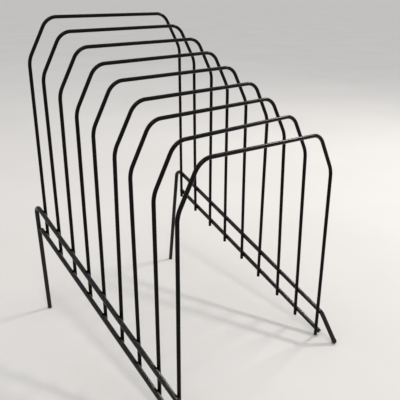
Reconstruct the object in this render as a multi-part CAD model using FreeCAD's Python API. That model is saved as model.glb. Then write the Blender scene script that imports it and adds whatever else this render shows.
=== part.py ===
"""Stepped wire stand for photo albums.

Nine inverted-U divider wires stand one behind the other, each lower than the one behind it.
Each leg is spot welded to an upper and a lower sloping rail on its outer side. The upper rail,
the rear leg and the front foot of a side are one bent wire. All sizes are in millimetres.
X runs across the stand, the front faces -Y, and the table is the plane z = 0.
"""
import FreeCAD, Part
import math
import os

# Dividers: their number, their places and the outline of one
ARCH_COUNT = 9
ARCH_PITCH = 31.75            # from one divider to the next, along Y
ARCH_DROP = 13.3              # each divider stands this much lower than the one behind it
FRONT_ARCH_CLEARANCE = 1.0    # the front divider's leg ends stand this far above the table
LEG_SPACING_AT_END = 212.0    # between leg axes, at the leg ends
LEG_SPACING_AT_SHOULDER = 207.6
LEG_HEIGHT = 211.0            # leg end to the lower corner of the shoulder
SHOULDER_RUN = 24.8           # width of the sloping shoulder
SHOULDER_RISE = 43.3          # height of the sloping shoulder
LOWER_BEND_RADIUS = 27.0
UPPER_BEND_RADIUS = 19.5
FRONT_ARCH_LEFT_EXTRA = 7.5   # the front divider's left leg is longer, so that its top slopes
LEAN_PIVOT_HEIGHT = 17.0      # above the leg ends, midway between the rails

# How each divider was set in the jig, in degrees, rear divider first
ARCH_LEANS = (-0.5, -0.25, -0.75, -0.5, 0.0, -0.75, 1.0, 1.1, 0.0)      # top towards the rear
ARCH_SIDE_LEANS = (0.0, -0.2, -0.1, -0.2, 0.0, 0.2, 0.1, 0.4, -0.2)     # top towards the right
ARCH_TWISTS = (-0.2, 0.0, 0.1, 0.8, -0.1, 0.1, -0.6, 0.1, -0.4)         # right leg towards the rear

# Rails, rear legs and front feet
UPPER_RAIL_RISE = 32.4        # rail axis above the leg ends, measured at each leg
LOWER_RAIL_RISE = 5.0
LEFT_RAIL_LIFT = 1.5          # the left rails are welded this much higher up the legs
RIGHT_REAR_DROP = 2.0         # the right rails and leg ends sit this much lower at the rear divider
REAR_CORNER_SETBACK = 14.9    # upper rail's rear corner, behind the rear divider
REAR_CORNER_RADIUS = 7.0
REAR_FOOT_SETBACK = 12.6      # rear feet, behind the rear divider
RIGHT_REAR_FOOT_INSET = 18.0  # the right rear leg is bent inwards by this much at the table
FRONT_BEND_SETOUT = 3.4       # upper rail's front bend, in front of the front divider
FRONT_BEND_RADIUS = 9.0
FRONT_FOOT_SETOUT = 24.5      # centre of the foot's rounded end, in front of the front divider
LOWER_RAIL_REAR_OVERHANG = 6.6
LOWER_RAIL_FRONT_OVERHANG = 3.4

# Wire sizes, ends and welds
ARCH_WIRE = 3.9               # diameters
FRAME_WIRE = 5.3
LOWER_RAIL_WIRE = 5.3
FOOT_BEAD = 6.0               # coating bead that rounds the end of a front foot
END_ROUND = 0.5               # rounding that the coating gives to a cut end
WELD_STANDOFF = 0.15          # between two wires at their weld
WELD_WIDTH = 2.8              # diameter of a weld nugget
FLOOR_TRIM = 10.0             # length left on a rear leg for its cut at the table

RAIL_SLOPE = ARCH_DROP / ARCH_PITCH
SIDES = {"left": -1, "right": 1}


def arch_y(index):
    """Place of a divider along Y, counted from the rear divider at y = 0."""
    return -index * ARCH_PITCH


def arch_z(index):
    """Height of a divider's leg ends above the table."""
    return FRONT_ARCH_CLEARANCE + (ARCH_COUNT - 1 - index) * ARCH_DROP


def right_drop(y):
    """How far the right side has sunk at y, from nothing at the front divider."""
    front = arch_y(ARCH_COUNT - 1)
    return RIGHT_REAR_DROP * (y - front) / (arch_y(0) - front)


def rail_z(side, rise, y):
    """Height at y of a side's rail that crosses the legs at this rise above their ends."""
    height = arch_z(0) + rise + y * RAIL_SLOPE
    if side == "left":
        return height + LEFT_RAIL_LIFT
    return height - right_drop(y)


def leg_x(height):
    """Distance of a leg's axis from the middle plane, at a height above the leg's end."""
    taper = (LEG_SPACING_AT_END - LEG_SPACING_AT_SHOULDER) / LEG_HEIGHT
    return (LEG_SPACING_AT_END - taper * height) / 2


def rail_x(side, rise, wire):
    """Distance of a rail's axis from the middle plane: outside the legs, one stand-off away."""
    crossing = rise + LEFT_RAIL_LIFT if side == "left" else rise
    return leg_x(crossing) + (ARCH_WIRE + wire) / 2 + WELD_STANDOFF


def wire_path(corners, radii):
    """Straight runs from corner to corner, each inner corner rounded by a tangent arc."""
    edges = []
    start = corners[0]
    for before, corner, after, radius in zip(corners, corners[1:], corners[2:], radii):
        to_before = (before - corner).normalize()
        to_after = (after - corner).normalize()
        half_angle = to_before.getAngle(to_after) / 2
        setback = radius / math.tan(half_angle)
        arc_start = corner + to_before * setback
        arc_end = corner + to_after * setback
        towards_centre = (to_before + to_after).normalize()
        arc_middle = corner + towards_centre * (radius / math.sin(half_angle) - radius)
        edges.append(Part.makeLine(start, arc_start))
        edges.append(Part.Arc(arc_start, arc_middle, arc_end).toShape())
        start = arc_end
    edges.append(Part.makeLine(start, corners[-1]))
    return Part.Wire(edges)


def bent_wire(corners, radii, diameter):
    """Round wire swept along its corners."""
    start_direction = corners[1] - corners[0]
    section = Part.Wire(Part.makeCircle(diameter / 2, corners[0], start_direction))
    return wire_path(corners, radii).makePipe(Part.Face(section)).Solids[0]


def round_ends(wire, ends):
    """Round the edge of each cut end as the coating does."""
    rims = []
    for edge in wire.Edges:
        centre = edge.CenterOfMass
        if any(centre.distanceToPoint(end) < END_ROUND / 2 for end in ends):
            rims.append(edge)
    return wire.makeFillet(END_ROUND, rims)


def row_placement(index):
    """Placement of a divider: turned about its pivot, then moved to its place in the row."""
    which = index % len(ARCH_LEANS)
    pivot = FreeCAD.Vector(0, 0, LEAN_PIVOT_HEIGHT)
    turn = FreeCAD.Rotation(ARCH_TWISTS[which], ARCH_SIDE_LEANS[which], -ARCH_LEANS[which])
    step = FreeCAD.Vector(0, arch_y(index), arch_z(index))
    return FreeCAD.Placement(step, turn, pivot)


def make_arch(index):
    """One divider: two legs, two sloping shoulders and the top, in one wire."""
    foot = LEG_SPACING_AT_END / 2
    shoulder = LEG_SPACING_AT_SHOULDER / 2
    top = shoulder - SHOULDER_RUN
    left_leg = LEG_HEIGHT
    if index == ARCH_COUNT - 1:
        left_leg += FRONT_ARCH_LEFT_EXTRA
    outline = ((-foot, 0), (-shoulder, left_leg), (-top, left_leg + SHOULDER_RISE),
               (top, LEG_HEIGHT + SHOULDER_RISE), (shoulder, LEG_HEIGHT),
               (foot, -right_drop(arch_y(index))))
    corners = [FreeCAD.Vector(x, 0, z) for x, z in outline]
    radii = (LOWER_BEND_RADIUS, UPPER_BEND_RADIUS, UPPER_BEND_RADIUS, LOWER_BEND_RADIUS)
    wire = round_ends(bent_wire(corners, radii, ARCH_WIRE), (corners[0], corners[-1]))
    wire.Placement = row_placement(index)
    return wire


def make_side_frame(side, foot_inset):
    """Rear leg, upper rail and front foot of one side, in one wire, cut flat at the table."""
    x = SIDES[side] * rail_x(side, UPPER_RAIL_RISE, FRAME_WIRE)
    front_arch = arch_y(ARCH_COUNT - 1)
    corner_z = rail_z(side, UPPER_RAIL_RISE, REAR_CORNER_SETBACK)
    bend_y = front_arch - FRONT_BEND_SETOUT
    foot = FreeCAD.Vector(x - SIDES[side] * foot_inset, REAR_FOOT_SETBACK, 0)
    corner = FreeCAD.Vector(x, REAR_CORNER_SETBACK, corner_z)
    bend = FreeCAD.Vector(x, bend_y, rail_z(side, UPPER_RAIL_RISE, bend_y))
    tip = FreeCAD.Vector(x, front_arch - FRONT_FOOT_SETOUT, FOOT_BEAD / 2)
    below = foot + (foot - corner).normalize() * FLOOR_TRIM
    wire = bent_wire((below, corner, bend, tip), (REAR_CORNER_RADIUS, FRONT_BEND_RADIUS), FRAME_WIRE)
    wire = wire.fuse(Part.makeSphere(FOOT_BEAD / 2, tip))
    trim = Part.makeBox(4 * FLOOR_TRIM, 4 * FLOOR_TRIM, 2 * FLOOR_TRIM)
    trim.translate(foot - FreeCAD.Vector(2 * FLOOR_TRIM, 2 * FLOOR_TRIM, 2 * FLOOR_TRIM))
    return wire.cut(trim).Solids[0]


def make_lower_rail(side):
    """Straight wire that crosses the legs just above their ends."""
    x = SIDES[side] * rail_x(side, LOWER_RAIL_RISE, LOWER_RAIL_WIRE)
    front = arch_y(ARCH_COUNT - 1) - LOWER_RAIL_FRONT_OVERHANG
    places = (LOWER_RAIL_REAR_OVERHANG, front)
    ends = [FreeCAD.Vector(x, y, rail_z(side, LOWER_RAIL_RISE, y)) for y in places]
    return round_ends(bent_wire(ends, (), LOWER_RAIL_WIRE), ends)


def make_weld(index, side, rise, arch, rail, rail_axis_x):
    """Nugget that bridges the stand-off between one leg and one rail."""
    height = rail_z(side, rise, arch_y(index)) - arch_z(index)
    on_leg = row_placement(index).multVec(FreeCAD.Vector(SIDES[side] * leg_x(height), 0, height))
    on_leg.z = rail_z(side, rise, on_leg.y)
    length = rail_axis_x - abs(on_leg.x)
    outwards = FreeCAD.Vector(SIDES[side], 0, 0)
    nugget = Part.makeCylinder(WELD_WIDTH / 2, length, on_leg, outwards)
    return nugget.cut(arch).cut(rail).Solids[0]


def make_nodes():
    """All pieces by name, with the rear divider still at y = 0."""
    nodes = {}
    rails = {}
    for side in SIDES:
        inset = RIGHT_REAR_FOOT_INSET if side == "right" else 0
        frame = make_side_frame(side, inset)
        lower_rail = make_lower_rail(side)
        rails[side] = ((UPPER_RAIL_RISE, frame, rail_x(side, UPPER_RAIL_RISE, FRAME_WIRE)),
                       (LOWER_RAIL_RISE, lower_rail, rail_x(side, LOWER_RAIL_RISE, LOWER_RAIL_WIRE)))
        nodes["side_frame_" + side] = frame
        nodes["lower_rail_" + side] = lower_rail
    for index in range(ARCH_COUNT):
        arch = make_arch(index)
        welds = []
        for side in SIDES:
            for rise, rail, axis_x in rails[side]:
                welds.append(make_weld(index, side, rise, arch, rail, axis_x))
        nodes["arch_%d" % (index + 1)] = arch
        nodes["welds_%d" % (index + 1)] = Part.makeCompound(welds)
    return nodes


def main():
    nodes = make_nodes()
    # The origin is on the table, under the middle of the stand's length.
    length_box = nodes["side_frame_left"].optimalBoundingBox(False, False)
    to_origin = FreeCAD.Vector(0, -(length_box.YMin + length_box.YMax) / 2, 0)
    os.makedirs("parts", exist_ok=True)
    for name, shape in nodes.items():
        shape.translate(to_origin)
        shape.exportStep("parts/%s.step" % name)


main()
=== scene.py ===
"""Black coated wire stand for photo albums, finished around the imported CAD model.

Each CAD wire is replaced by a finely meshed wire with its coating, and each group of weld nuggets
by the fillets that the coating forms there. Lengths are in metres. X runs across the stand, its
front faces -Y, and it stands on the plane z = 0.
"""
import math
import bpy
import numpy as np
from mathutils import Matrix, Vector, noise


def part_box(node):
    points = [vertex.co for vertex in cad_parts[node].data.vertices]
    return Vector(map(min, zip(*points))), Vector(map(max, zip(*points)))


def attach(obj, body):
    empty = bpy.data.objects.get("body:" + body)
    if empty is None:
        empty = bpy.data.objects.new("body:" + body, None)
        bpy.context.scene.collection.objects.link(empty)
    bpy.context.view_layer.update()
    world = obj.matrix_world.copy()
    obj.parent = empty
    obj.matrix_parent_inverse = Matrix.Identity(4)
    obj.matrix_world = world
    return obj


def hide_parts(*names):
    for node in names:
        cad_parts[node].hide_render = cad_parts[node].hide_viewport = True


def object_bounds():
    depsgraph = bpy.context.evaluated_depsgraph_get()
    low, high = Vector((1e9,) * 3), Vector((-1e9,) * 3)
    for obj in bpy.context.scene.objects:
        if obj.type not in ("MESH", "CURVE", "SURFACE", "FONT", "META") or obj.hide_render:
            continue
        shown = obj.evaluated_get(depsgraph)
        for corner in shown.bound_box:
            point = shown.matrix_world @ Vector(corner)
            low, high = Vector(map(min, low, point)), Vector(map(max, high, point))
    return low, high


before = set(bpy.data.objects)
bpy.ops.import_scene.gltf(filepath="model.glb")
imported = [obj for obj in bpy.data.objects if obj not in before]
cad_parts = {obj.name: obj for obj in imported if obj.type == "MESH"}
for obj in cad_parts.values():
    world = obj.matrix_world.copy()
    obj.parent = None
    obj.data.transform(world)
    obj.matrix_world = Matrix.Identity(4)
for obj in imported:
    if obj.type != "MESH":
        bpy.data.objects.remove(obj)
cad_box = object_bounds()

SIDES = {"left": -1, "right": 1}
DIVIDER_COUNT = sum(name.startswith("arch_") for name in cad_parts)

# Wires: diameters, ends and welds
ARCH_WIRE = 0.0039
FRAME_WIRE = 0.0053
LOWER_RAIL_WIRE = 0.0053
FOOT_BEAD = 0.0060             # drop of coating on the end of a front foot
BEAD_TAIL = 0.0022             # how far the drop runs back along the wire
END_ROUND = 0.0005             # rounding that the coating gives to a cut end
WELD_STANDOFF = 0.00015

# Dividers: their places in the row, and the outline of one
ARCH_PITCH = 0.03175
ARCH_DROP = 0.0133             # each divider stands this much lower than the one behind it
FRONT_ARCH_CLEARANCE = 0.0010
LEG_SPACING_AT_END = 0.2120
LEG_SPACING_AT_SHOULDER = 0.2076
LEG_HEIGHT = 0.2110
SHOULDER_RUN = 0.0248
SHOULDER_RISE = 0.0433
LOWER_BEND_RADIUS = 0.0270
UPPER_BEND_RADIUS = 0.0195
FRONT_ARCH_LEFT_EXTRA = 0.0075
LEAN_PIVOT_HEIGHT = 0.0170

# How each divider is turned, in degrees, rear one first: top to the rear, top to the right, twist
ARCH_TURNS = ((-0.5, 0.0, -0.2), (-0.25, -0.2, 0.0), (-0.75, -0.1, 0.1), (-0.5, -0.2, 0.8),
              (0.0, 0.0, -0.1), (-0.75, 0.2, 0.1), (1.0, 0.1, -0.6), (1.1, 0.4, 0.1), (0.0, -0.2, -0.4))

# Rails, rear legs and front feet, from the rear or the front divider
UPPER_RAIL_RISE = 0.0324
LOWER_RAIL_RISE = 0.0050
LEFT_RAIL_LIFT = 0.0015        # the left rails are welded this much higher up the legs
RIGHT_REAR_DROP = 0.0020       # the right rails and leg ends sit this much lower at the rear divider
REAR_CORNER_SETBACK = 0.0149
REAR_CORNER_RADIUS = 0.0070
REAR_FOOT_SETBACK = 0.0126
FRONT_BEND_SETOUT = 0.0034
FRONT_BEND_RADIUS = 0.0090
FRONT_FOOT_SETOUT = 0.0245
LOWER_RAIL_REAR_OVERHANG = 0.0066
LOWER_RAIL_FRONT_OVERHANG = 0.0034

# Mesh of a wire, and how far it strays from a perfect round bar
RING_SIDES = 28
CUT_END_STEPS = 5
BEAD_NECK_STEPS = 12
BEAD_STEPS = 10
STRAIGHT_STEP = 0.0045
BEND_STEP = math.radians(4)
WAVER = 0.00010                # of the centre line
WAVER_LENGTH = 0.060
WAVER_SEED = 1
SWELL = 0.012                  # of the coated radius, as a share of it
SWELL_LENGTH = 0.014

# Mesh of a weld
WELD_BLEND = 0.0010            # how wide the coating fills the corner between two wires
WELD_REACH = 0.0029            # radius of the part that is meshed
WELD_SUNK = 0.00003            # its edge lies this deep in the wires
WELD_GRID = 0.00032
WELD_CREASE = math.radians(60) # edges sharper than this aren't smoothed
WELD_RIPPLE = 0.15             # unevenness of the filling, as a share of its width
RIPPLE_WAVES = (1300.0, 900.0, 1700.0)

# Colours of the coating and of the floor
THIN_COATING = (0.0016, 0.0013, 0.0013, 1)
THICK_COATING = (0.0042, 0.0031, 0.0028, 1)
DUST = (0.150, 0.135, 0.120, 1)
# Grey of the scuffed coating at the feet, which also serves as a painted glint on them
SCUFFED_GREY_AND_PAINTED_GLINT = (0.075, 0.072, 0.070, 1)
DARKER_PAPER = (0.655, 0.635, 0.610, 1)
LIGHTER_PAPER = (0.690, 0.672, 0.648, 1)

# The floor
FLOOR_REACH = 40.0
FLOOR_DROP = 0.00005           # below the cut ends that stand on it

# Lights, each with its place, width and height, watts and colour
KEY_LIGHT = (Vector((-0.45, -0.75, 3.0)), (0.5, 0.5), 15.0, (1.0, 0.98, 0.95))
SIDE_LIGHT = (Vector((1.15, -0.10, 1.15)), (0.30, 0.12), 10.0, (1.0, 0.97, 0.93))
ROOM_COLOUR = (0.92, 0.93, 0.95, 1)
ROOM_STRENGTH = 0.85

# The view, with the heading from +Y towards +X
CAMERA_PLACE = Vector((-0.3385, -0.4152, 0.3865))
CAMERA_HEADING = math.radians(41.32)
CAMERA_PITCH = math.radians(-22.16)
CAMERA_ROLL = math.radians(0.12)
CAMERA_LENS_MM = 45.88

FRONT_ROW_Y = cad_box[0].y + FRONT_FOOT_SETOUT + FOOT_BEAD / 2

class Divider:
    """One divider's place in the row, how it is turned there, and its outline."""

    def __init__(self, number):
        behind_front = DIVIDER_COUNT - number
        lean, side_lean, twist = [math.radians(degrees) for degrees in ARCH_TURNS[number - 1]]
        turn = (Matrix.Rotation(twist, 4, "Z") @ Matrix.Rotation(side_lean, 4, "Y")
                @ Matrix.Rotation(-lean, 4, "X"))
        pivot = Matrix.Translation((0, 0, LEAN_PIVOT_HEIGHT))
        self.number = number
        self.row_y = FRONT_ROW_Y + behind_front * ARCH_PITCH
        self.end_z = FRONT_ARCH_CLEARANCE + behind_front * ARCH_DROP
        self.right_drop = RIGHT_REAR_DROP * behind_front / (DIVIDER_COUNT - 1)
        row_place = Matrix.Translation((0, self.row_y, self.end_z))
        self.place = row_place @ pivot @ turn @ pivot.inverted()

    def corners(self):
        """The corners of its outline, from the left leg's end to the right leg's."""
        foot = LEG_SPACING_AT_END / 2
        shoulder = LEG_SPACING_AT_SHOULDER / 2
        top = shoulder - SHOULDER_RUN
        left = LEG_HEIGHT + (FRONT_ARCH_LEFT_EXTRA if self.number == DIVIDER_COUNT else 0.0)
        outline = ((-foot, 0), (-shoulder, left), (-top, left + SHOULDER_RISE),
                   (top, LEG_HEIGHT + SHOULDER_RISE), (shoulder, LEG_HEIGHT),
                   (foot, -self.right_drop))
        return [self.place @ Vector((x, 0, z)) for x, z in outline]


dividers = [Divider(number) for number in range(1, DIVIDER_COUNT + 1)]
rear = dividers[0]
front = dividers[-1]


def rail_slope(side):
    """Climb of a side's rails from the front divider to the rear one, per unit of length."""
    drop = rear.right_drop if side == "right" else 0.0
    return (rear.end_z - drop - front.end_z) / (rear.row_y - front.row_y)


def rail_z(side, rise, y):
    """Height at y of a side's rail that crosses the legs at this rise above their ends."""
    lift = LEFT_RAIL_LIFT if side == "left" else 0.0
    return front.end_z + rise + lift + (y - front.row_y) * rail_slope(side)


def upper_rail_x(side):
    """Place across the stand of an upper rail's centre line."""
    low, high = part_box("side_frame_" + side)
    outermost = max(abs(low.x), abs(high.x))
    return SIDES[side] * (outermost - FOOT_BEAD / 2)


def lower_rail_x(side):
    """Place across the stand of a lower rail's centre line."""
    low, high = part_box("lower_rail_" + side)
    return (low.x + high.x) / 2


# ---- wires ----

def route(corners, radii):
    """Stations (point, direction) along straight runs that are joined by tangent arcs."""
    stations = []
    start = corners[0]
    for before, corner, after, radius in zip(corners, corners[1:], corners[2:], radii):
        way_in = (corner - before).normalized()
        way_out = (after - corner).normalized()
        turn = way_in.angle(way_out)
        axis = way_in.cross(way_out).normalized()
        arc_start = corner - way_in * radius * math.tan(turn / 2)
        centre = arc_start + axis.cross(way_in) * radius
        stations += straight_stations(start, arc_start)
        steps = math.ceil(turn / BEND_STEP)
        for step in range(steps):
            spin = Matrix.Rotation(turn * step / steps, 3, axis)
            stations.append((centre + spin @ (arc_start - centre), spin @ way_in))
        start = corner + way_out * radius * math.tan(turn / 2)
    stations += straight_stations(start, corners[-1])
    stations.append((corners[-1], (corners[-1] - start).normalized()))
    return stations


def straight_stations(start, end):
    """Stations from start up to, but not at, the end of a straight run."""
    run = end - start
    steps = max(1, math.ceil(run.length / STRAIGHT_STEP))
    return [(start + run * step / steps, run.normalized()) for step in range(steps)]


def cut_end(radius):
    """Profile (offset, radius) of a cut end, from the body to its middle."""
    flat = radius - END_ROUND
    profile = []
    for angle in np.linspace(0, math.pi / 2, CUT_END_STEPS):
        profile.append((END_ROUND * (math.sin(angle) - 1), flat + END_ROUND * math.cos(angle)))
    profile += [(0.0, flat * 0.6), (0.0, flat * 0.25)]
    return profile


def bead_end(radius):
    """Profile of an end that a drop of coating rounds: a neck that swells to a half ball."""
    ball = FOOT_BEAD / 2
    profile = []
    for behind in np.linspace(3 * BEAD_TAIL, 0, BEAD_NECK_STEPS, endpoint=False):
        swelling = (ball - radius) * math.exp(-(behind / BEAD_TAIL) ** 2)
        profile.append((-behind, radius + swelling))
    for angle in np.linspace(0, math.pi / 2, BEAD_STEPS, endpoint=False):
        profile.append((ball * math.sin(angle), ball * math.cos(angle)))
    return profile


def trimmed(stations, profiles):
    """The stations that lie between the two end profiles."""
    points = [point for point, _ in stations]
    steps = [(b - a).length for a, b in zip(points, points[1:])]
    along = np.concatenate(([0], np.cumsum(steps)))
    first = -profiles[0][0][0]
    last = along[-1] + profiles[1][0][0]
    gap = END_ROUND
    return [s for s, distance in zip(stations, along) if first + gap < distance < last - gap]


def ring(centre, direction, across, radius, cut_normal, seed):
    """Points round a wire. A cut normal tilts the ring into the plane of a slanting cut."""
    up = direction.cross(across)
    points = []
    for index in range(RING_SIDES):
        angle = math.tau * index / RING_SIDES
        out = across * math.cos(angle) + up * math.sin(angle)
        swell = 1 + SWELL * noise.noise((centre + out * radius) / SWELL_LENGTH + seed)
        point = out * radius * swell
        point -= direction * (point.dot(cut_normal) / direction.dot(cut_normal))
        points.append(centre + point)
    return points


def wire_rings(stations, radius, profiles, end_normals, seed):
    """Every ring of a wire, with both its ends."""
    sections = []
    for which, outwards in ((0, -1), (1, 1)):
        point, direction = stations[0] if which == 0 else stations[-1]
        normal = end_normals[which] or direction * outwards
        drop = 1 / abs(direction.dot(normal))
        rows = [(point + direction * outwards * offset * drop, direction, size, normal)
                for offset, size in profiles[which]]
        sections.append(rows)
    body = [(point, direction, radius, direction) for point, direction in trimmed(stations, profiles)]
    rows = sections[0][::-1] + body + sections[1]
    rings = []
    across = rows[0][1].orthogonal().normalized()
    last_direction = rows[0][1]
    for point, direction, size, normal in rows:
        across = last_direction.rotation_difference(direction) @ across
        last_direction = direction
        waver = noise.noise_vector(point / WAVER_LENGTH + seed) * WAVER
        waver.z = 0
        rings.append(ring(point + waver, direction, across, size, normal, seed))
    return rings


def noise_place(name):
    """A place in the noise that belongs to one wire, so that no two wires are alike."""
    return Vector((len(name) * 3.7, sum(map(ord, name)) * 0.61, 1.3))


def make_wire(name, corners, radii, diameter, ends=(cut_end, cut_end), end_normals=(None, None)):
    """A coated wire swept along its corners, with an end profile at each end."""
    radius = diameter / 2
    profiles = [end(radius) for end in ends]
    rings = wire_rings(route(corners, radii), radius, profiles, end_normals, noise_place(name))
    vertices = [point for points in rings for point in points]
    faces = []
    for row in range(len(rings) - 1):
        for index in range(RING_SIDES):
            beside = (index + 1) % RING_SIDES
            here = row * RING_SIDES
            faces.append((here + index, here + beside,
                          here + RING_SIDES + beside, here + RING_SIDES + index))
    for row, reverse in ((0, True), (len(rings) - 1, False)):
        pole = len(vertices)
        vertices.append(sum(rings[row], Vector()) / RING_SIDES)
        for index in range(RING_SIDES):
            pair = (row * RING_SIDES + index, row * RING_SIDES + (index + 1) % RING_SIDES)
            faces.append((pole,) + (pair[::-1] if reverse else pair))
    return add_mesh(name, vertices, faces)


def add_mesh(name, vertices, faces):
    """A smooth-shaded mesh object that rides on the stand."""
    mesh = bpy.data.meshes.new(name)
    mesh.from_pydata([tuple(point) for point in vertices], [], faces)
    mesh.validate()
    mesh.shade_smooth()
    piece = bpy.data.objects.new(name, mesh)
    bpy.context.scene.collection.objects.link(piece)
    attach(piece, "root")
    return piece


def make_divider(divider):
    """One divider wire: two legs, two sloping shoulders and the top."""
    radii = (LOWER_BEND_RADIUS, UPPER_BEND_RADIUS, UPPER_BEND_RADIUS, LOWER_BEND_RADIUS)
    piece = make_wire(f"coated_arch_{divider.number}", divider.corners(), radii, ARCH_WIRE)
    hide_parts(f"arch_{divider.number}")
    return piece


def make_side_frame(side):
    """Rear leg, upper rail and front foot of one side, in one wire."""
    x = upper_rail_x(side)
    low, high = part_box("side_frame_" + side)
    inset = high.x - low.x - (FOOT_BEAD + FRAME_WIRE) / 2
    leg_is_bent_inwards = inset > FOOT_BEAD
    foot_x = x - SIDES[side] * inset if leg_is_bent_inwards else x
    corner_y = rear.row_y + REAR_CORNER_SETBACK
    bend_y = front.row_y - FRONT_BEND_SETOUT
    corners = [
        Vector((foot_x, rear.row_y + REAR_FOOT_SETBACK, 0)),
        Vector((x, corner_y, rail_z(side, UPPER_RAIL_RISE, corner_y))),
        Vector((x, bend_y, rail_z(side, UPPER_RAIL_RISE, bend_y))),
        Vector((x, front.row_y - FRONT_FOOT_SETOUT, FOOT_BEAD / 2)),
    ]
    radii = (REAR_CORNER_RADIUS, FRONT_BEND_RADIUS)
    piece = make_wire("coated_side_frame_" + side, corners, radii, FRAME_WIRE,
                      ends=(cut_end, bead_end), end_normals=(Vector((0, 0, -1)), None))
    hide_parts("side_frame_" + side)
    return piece


def make_lower_rail(side):
    """Straight wire across the legs, just above their ends."""
    x = lower_rail_x(side)
    ends = (rear.row_y + LOWER_RAIL_REAR_OVERHANG, front.row_y - LOWER_RAIL_FRONT_OVERHANG)
    corners = [Vector((x, y, rail_z(side, LOWER_RAIL_RISE, y))) for y in ends]
    piece = make_wire("coated_lower_rail_" + side, corners, (), LOWER_RAIL_WIRE)
    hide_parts("lower_rail_" + side)
    return piece


# ---- welds ----

def line_distance(points, through, direction):
    """Distance of each point from a line."""
    away = points - np.array(through)
    along = away @ np.array(direction)
    return np.sqrt(np.maximum((away ** 2).sum(axis=-1) - along ** 2, 0))


def smooth_union(first, second, width):
    """Field of two solids with the corner between them filled over this width."""
    share = np.clip(0.5 + 0.5 * (second - first) / width, 0, 1)
    return second + (first - second) * share - width * share * (1 - share)


def weld_field(centre, leg, rail):
    """Function of points that is negative inside a weld. A wire is (point, direction, radius)."""
    def field(points):
        in_leg, in_rail = [line_distance(points, through, direction) - radius
                           for through, direction, radius in (leg, rail)]
        ripple = np.sin(points @ np.array(RIPPLE_WAVES) + centre.y * RIPPLE_WAVES[0])
        filled = smooth_union(in_leg, in_rail, WELD_BLEND * (1 + WELD_RIPPLE * ripple))
        reach = np.sqrt(((points - np.array(centre)) ** 2).sum(axis=-1)) - WELD_REACH
        return np.maximum(filled + WELD_SUNK, reach)
    return field


def surface_net(field, centre, reach, step):
    """Vertices and quads of the surface where a field is zero, by the surface-nets method."""
    count = 2 * math.ceil(reach / step) + 3
    axis = (np.arange(count) - (count - 1) / 2) * step
    grid = np.stack(np.meshgrid(axis, axis, axis, indexing="ij"), axis=-1) + np.array(centre)
    values = field(grid)
    cells = count - 1
    crossings = np.zeros((cells, cells, cells, 3))
    hits = np.zeros((cells, cells, cells))
    for along in range(3):
        others = [number for number in range(3) if number != along]
        for offset in (0, 1):
            for other_offset in (0, 1):
                corner = [0, 0, 0]
                corner[others[0]] = offset
                corner[others[1]] = other_offset
                far = list(corner)
                far[along] = 1
                near_part = tuple(slice(c, c + cells) for c in corner)
                far_part = tuple(slice(c, c + cells) for c in far)
                near_value = values[near_part]
                far_value = values[far_part]
                crossed = (near_value < 0) != (far_value < 0)
                fall = np.where(crossed, near_value - far_value, 1)
                share = np.where(crossed, near_value / fall, 0)[..., None]
                point = grid[near_part] * (1 - share) + grid[far_part] * share
                crossings += point * crossed[..., None]
                hits += crossed
    used = hits > 0
    vertex_at = np.full(used.shape, -1)
    vertex_at[used] = np.arange(used.sum())
    vertices = crossings[used] / hits[used][:, None]
    quads = []
    inside = values < 0
    for along in range(3):
        first = (along + 1) % 3
        second = (along + 2) % 3
        ahead = np.roll(inside, -1, axis=along)
        edge = inside != ahead
        for cell in np.argwhere(edge):
            if cell[along] >= cells or cell[first] < 1 or cell[second] < 1:
                continue
            if cell[first] >= cells or cell[second] >= cells:
                continue
            around = []
            for step_first, step_second in ((-1, -1), (0, -1), (0, 0), (-1, 0)):
                neighbour = list(cell)
                neighbour[first] += step_first
                neighbour[second] += step_second
                around.append(int(vertex_at[tuple(neighbour)]))
            quads.append(around if inside[tuple(cell)] else around[::-1])
    return vertices, quads


def settle(points, field, rounds=3, step=0.00001):
    """Points moved onto the surface where a field is zero."""
    for _ in range(rounds):
        slope = []
        for axis in np.eye(3) * step:
            slope.append((field(points + axis) - field(points - axis)) / (2 * step))
        slope = np.stack(slope, axis=-1)
        size = np.maximum((slope ** 2).sum(axis=-1, keepdims=True), 0.1)
        points = points - slope * (field(points)[:, None] / size)
    return points


def weld_at(divider, side, rise, rail_x, rail_wire):
    """Vertices and quads of the fillet between one leg and one rail."""
    corners = divider.corners()
    end, shoulder = (corners[0], corners[1]) if side == "left" else (corners[-1], corners[-2])
    leg_direction = (shoulder - end).normalized()
    slope = rail_slope(side)
    climb = leg_direction.z - leg_direction.y * slope
    crossing = end + leg_direction * ((rail_z(side, rise, end.y) - end.z) / climb)
    rail_direction = Vector((0, 1, slope)).normalized()
    on_rail = Vector((rail_x, crossing.y, crossing.z))
    contact = crossing.copy()
    contact.x += SIDES[side] * (ARCH_WIRE + WELD_STANDOFF) / 2
    leg = (crossing, leg_direction, ARCH_WIRE / 2)
    rail = (on_rail, rail_direction, rail_wire / 2)
    field = weld_field(contact, leg, rail)
    vertices, quads = surface_net(field, contact, WELD_REACH, WELD_GRID)
    return settle(vertices, field), quads


def make_welds(divider):
    """The four fillets between one divider and the rails."""
    vertices = []
    faces = []
    for side in SIDES:
        rails = ((UPPER_RAIL_RISE, upper_rail_x(side), FRAME_WIRE),
                 (LOWER_RAIL_RISE, lower_rail_x(side), LOWER_RAIL_WIRE))
        for rise, rail_x, wire in rails:
            points, quads = weld_at(divider, side, rise, rail_x, wire)
            faces += [[index + len(vertices) for index in quad] for quad in quads]
            vertices += list(points)
    piece = add_mesh(f"coated_welds_{divider.number}", vertices, faces)
    piece.data.set_sharp_from_angle(angle=WELD_CREASE)
    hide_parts(f"welds_{divider.number}")
    return piece


# ---- materials ----

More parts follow.
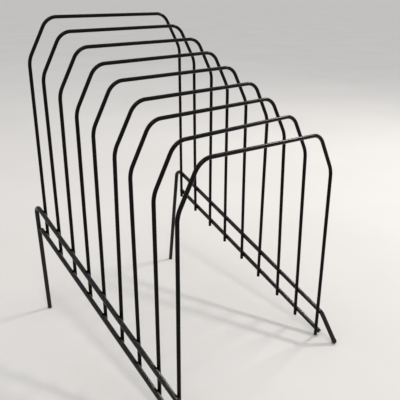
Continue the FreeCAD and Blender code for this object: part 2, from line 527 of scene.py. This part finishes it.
def add_node(tree, kind, inputs, **settings):
    """A shader node with its settings, its values and the sockets that feed it."""
    node = tree.nodes.new(kind)
    for key, value in settings.items():
        setattr(node, key, value)
    for key, value in inputs.items():
        if isinstance(value, bpy.types.NodeSocket):
            tree.links.new(value, node.inputs[key])
        else:
            node.inputs[key].default_value = value
    return node


def new_material(name):
    """A material with an empty node tree, and its output node."""
    material = bpy.data.materials.new(name)
    material.use_nodes = True
    tree = material.node_tree
    tree.nodes.clear()
    return material, tree, tree.nodes.new("ShaderNodeOutputMaterial")


def noise_value(tree, place, scale, detail=3.0, roughness=0.55):
    """Noise from 0 to 1 at a place. The scale is in features per metre."""
    inputs = {"Vector": place, "Scale": scale, "Detail": detail, "Roughness": roughness}
    return add_node(tree, "ShaderNodeTexNoise", inputs).outputs["Fac"]


def remap(tree, value, low, high, to_low, to_high):
    """A value taken from one range to another and kept inside it."""
    inputs = {"Value": value, "From Min": low, "From Max": high, "To Min": to_low, "To Max": to_high}
    return add_node(tree, "ShaderNodeMapRange", inputs).outputs["Result"]


def product(tree, first, second):
    """Two values multiplied."""
    return add_node(tree, "ShaderNodeMath", {0: first, 1: second}, operation="MULTIPLY").outputs[0]


def mix_colour(tree, share, first, second):
    """A colour between two, by a share."""
    node = add_node(tree, "ShaderNodeMix", {0: share, 6: first, 7: second}, data_type="RGBA")
    return node.outputs[2]


def coating_material(name, peel, dust, gloss, smoothest):
    """Glossy black coating over wire: mottled, slightly rippled, dusty above, and scuffed grey near the
    table with a painted glint there.

    Peel is how rippled it is, dust how dusty, gloss how much it reflects, and smoothest its least roughness.
    """
    material, tree, output = new_material(name)
    place = tree.nodes.new("ShaderNodeTexCoord").outputs["Object"]
    height = add_node(tree, "ShaderNodeSeparateXYZ", {0: place}).outputs["Z"]
    facing = tree.nodes.new("ShaderNodeNewGeometry").outputs["Normal"]
    facing_up = add_node(tree, "ShaderNodeSeparateXYZ", {0: facing}).outputs["Z"]

    thickness = remap(tree, noise_value(tree, place, 34.0), 0.3, 0.7, 0.0, 1.0)
    mottle = noise_value(tree, place, 420.0)
    colour = mix_colour(tree, thickness, THIN_COATING, THICK_COATING)

    specks = remap(tree, noise_value(tree, place, 260.0, 6.0, 0.7), 0.50, 0.72, 0.0, 1.0)
    upward = remap(tree, facing_up, 0.25, 1.0, 0.0, dust)
    dusty = product(tree, specks, upward)
    colour = mix_colour(tree, dusty, colour, DUST)

    # Patches near the table turn grey: partly scuffed wear, partly a painted glint on the feet
    at_table = remap(tree, height, 0.0035, 0.0004, 0.0, 1.0)
    scuff_and_glint_spots = remap(tree, noise_value(tree, place, 900.0, 4.0), 0.48, 0.62, 0.0, 0.7)
    scuffed_and_painted_glint = product(tree, scuff_and_glint_spots, at_table)
    colour = mix_colour(tree, scuffed_and_painted_glint, colour, SCUFFED_GREY_AND_PAINTED_GLINT)

    roughness = remap(tree, mottle, 0.3, 0.7, smoothest, smoothest + 0.10)
    dust_scuff_and_glint = add_node(tree, "ShaderNodeMath", {0: dusty, 1: scuffed_and_painted_glint}, operation="MAXIMUM").outputs[0]
    inputs = {0: dust_scuff_and_glint, 1: 0.45, 2: roughness}
    roughness = add_node(tree, "ShaderNodeMath", inputs, operation="MULTIPLY_ADD").outputs[0]

    grain = noise_value(tree, place, 3400.0, 2.0)
    fine = add_node(tree, "ShaderNodeBump", {"Height": grain, "Strength": peel * 0.5, "Distance": 0.000012})
    skin = noise_value(tree, place, 820.0, 2.0)
    inputs = {"Height": skin, "Strength": peel, "Distance": 0.00005, "Normal": fine.outputs["Normal"]}
    bump = add_node(tree, "ShaderNodeBump", inputs)

    inputs = {"Base Color": colour, "Roughness": roughness, "Normal": bump.outputs["Normal"],
              "IOR": 1.46, "Specular IOR Level": gloss,
              "Coat Weight": gloss / 2, "Coat Roughness": 0.06, "Coat IOR": 1.40}
    shader = add_node(tree, "ShaderNodeBsdfPrincipled", inputs)
    tree.links.new(shader.outputs["BSDF"], output.inputs["Surface"])
    return material


def floor_material():
    """Pale matt paper sweep with faint fibres."""
    material, tree, output = new_material("pale_floor")
    place = tree.nodes.new("ShaderNodeTexCoord").outputs["Object"]
    clouds = remap(tree, noise_value(tree, place, 3.0), 0.3, 0.7, 0.0, 1.0)
    colour = mix_colour(tree, clouds, DARKER_PAPER, LIGHTER_PAPER)
    fibres = noise_value(tree, place, 700.0, 4.0)
    bump = add_node(tree, "ShaderNodeBump", {"Height": fibres, "Strength": 0.15, "Distance": 0.0002})
    inputs = {"Base Color": colour, "Roughness": 0.85, "Normal": bump.outputs["Normal"],
              "Specular IOR Level": 0.15}
    shader = add_node(tree, "ShaderNodeBsdfPrincipled", inputs)
    tree.links.new(shader.outputs["BSDF"], output.inputs["Surface"])
    return material


# ---- the scene ----

def make_floor():
    """A wide pale floor at the stand's feet."""
    signs = ((-1, -1), (1, -1), (1, 1), (-1, 1))
    corners = [(x * FLOOR_REACH, y * FLOOR_REACH, -FLOOR_DROP) for x, y in signs]
    mesh = bpy.data.meshes.new("floor")
    mesh.from_pydata(corners, [], [(0, 1, 2, 3)])
    floor = bpy.data.objects.new("floor", mesh)
    bpy.context.scene.collection.objects.link(floor)
    floor.data.materials.append(floor_material())


def add_light(name, place, size, power, colour):
    """A rectangular soft light aimed at the middle of the stand."""
    low, high = cad_box
    lamp = bpy.data.lights.new(name, "AREA")
    lamp.shape = "RECTANGLE"
    lamp.size, lamp.size_y = size
    lamp.energy = power
    lamp.color = colour
    light = bpy.data.objects.new(name, lamp)
    light.location = place
    light.rotation_euler = ((low + high) / 2 - light.location).to_track_quat("-Z", "Y").to_euler()
    bpy.context.scene.collection.objects.link(light)


def make_lights():
    """Soft studio light: a key overhead, a smaller light from the right, and the room."""
    add_light("key_light", *KEY_LIGHT)
    add_light("side_light", *SIDE_LIGHT)
    world = bpy.data.worlds.new("studio")
    bpy.context.scene.world = world
    world.use_nodes = True
    background = world.node_tree.nodes["Background"]
    background.inputs["Color"].default_value = ROOM_COLOUR
    background.inputs["Strength"].default_value = ROOM_STRENGTH


def make_picture():
    """Plain colour handling, so that black stays black."""
    bpy.context.scene.view_settings.view_transform = "Standard"


def make_camera():
    """The view of the stand from its left front, a little above it."""
    data = bpy.data.cameras.new("camera")
    data.sensor_width = 36.0
    data.lens = CAMERA_LENS_MM
    data.clip_start = 0.01
    camera = bpy.data.objects.new("camera", data)
    turn = Matrix.Rotation(-CAMERA_HEADING, 4, "Z")
    tilt = Matrix.Rotation(math.pi / 2 + CAMERA_PITCH, 4, "X")
    roll = Matrix.Rotation(CAMERA_ROLL, 4, "Z")
    camera.matrix_world = Matrix.Translation(CAMERA_PLACE) @ turn @ tilt @ roll
    bpy.context.scene.collection.objects.link(camera)
    bpy.context.scene.camera = camera


def finish_piece(piece, material):
    """Give a piece its material."""
    piece.data.materials.append(material)


def make_stand():
    """Every wire and weld of the stand."""
    noise.seed_set(WAVER_SEED)
    wire_coating = coating_material("black_coating", 0.30, 0.30, 0.09, 0.16)
    frame_coating = coating_material("black_coating_frame", 0.10, 0.30, 0.28, 0.06)
    weld_coating = coating_material("black_coating_welds", 0.80, 0.30, 0.15, 0.20)
    for divider in dividers:
        finish_piece(make_divider(divider), wire_coating)
        finish_piece(make_welds(divider), weld_coating)
    for side in SIDES:
        finish_piece(make_side_frame(side), frame_coating)
        finish_piece(make_lower_rail(side), frame_coating)


make_camera()
make_stand()
make_floor()
make_lights()
make_picture()

bpy.context.view_layer.update()
